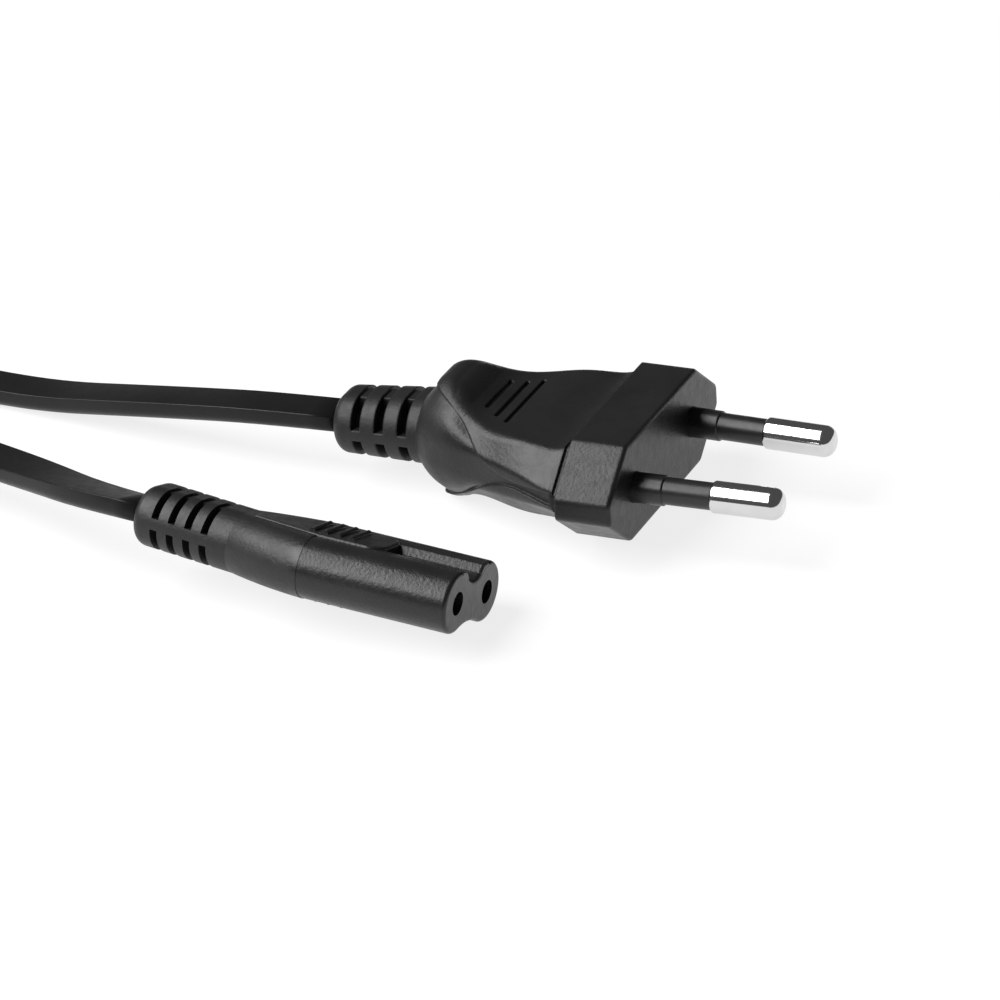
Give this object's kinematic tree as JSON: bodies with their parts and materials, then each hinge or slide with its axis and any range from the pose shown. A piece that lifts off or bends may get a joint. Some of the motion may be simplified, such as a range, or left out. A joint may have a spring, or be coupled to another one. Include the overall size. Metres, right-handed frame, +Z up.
{
  "type": "figure eight power connector lead",
  "caption": "Moulded black mains lead: a figure eight connector and a flat round-pin plug, joined by a flat cord.",
  "frame": {"origin": "bottom centre of the connector's box, on the surface that both ends lie on", "axes": "+X is the way the connector is pushed in, +Y goes from the connector to the plug beside it, +Z is up"},
  "size_m": [0.2153, 0.0816, 0.0161],
  "materials": {
    "moulding": "fine grained soft black moulding",
    "insert": "hard black insert",
    "contact_metal": "rolled brass strip",
    "pin_metal": "bright nickel plate",
    "pin_sleeve": "smooth black sleeve",
    "sheath": "smooth soft black sheath",
    "core_brown": "brown core insulation",
    "core_blue": "blue core insulation",
    "strands": "bare copper strands"
  },
  "bodies": {
    "root": {"connector_body": "moulding", "contact_carrier": "insert", "contact_near": "contact_metal", "contact_far": "contact_metal", "connector_strands_near": "strands", "connector_strands_far": "strands", "connector_core_near": "core_brown", "connector_core_far": "core_blue", "connector_sheath_end": "sheath", "plug_body": "moulding", "pin_bridge": "insert", "pin_near": "pin_metal", "pin_far": "pin_metal", "pin_sleeve_near": "pin_sleeve", "pin_sleeve_far": "pin_sleeve", "plug_strands_near": "strands", "plug_strands_far": "strands", "plug_core_near": "core_brown", "plug_core_far": "core_blue", "plug_sheath_end": "sheath", "cord_at_connector": "sheath", "cord_at_plug": "sheath", "cord_coil": "sheath"}
  },
  "joints": []
}
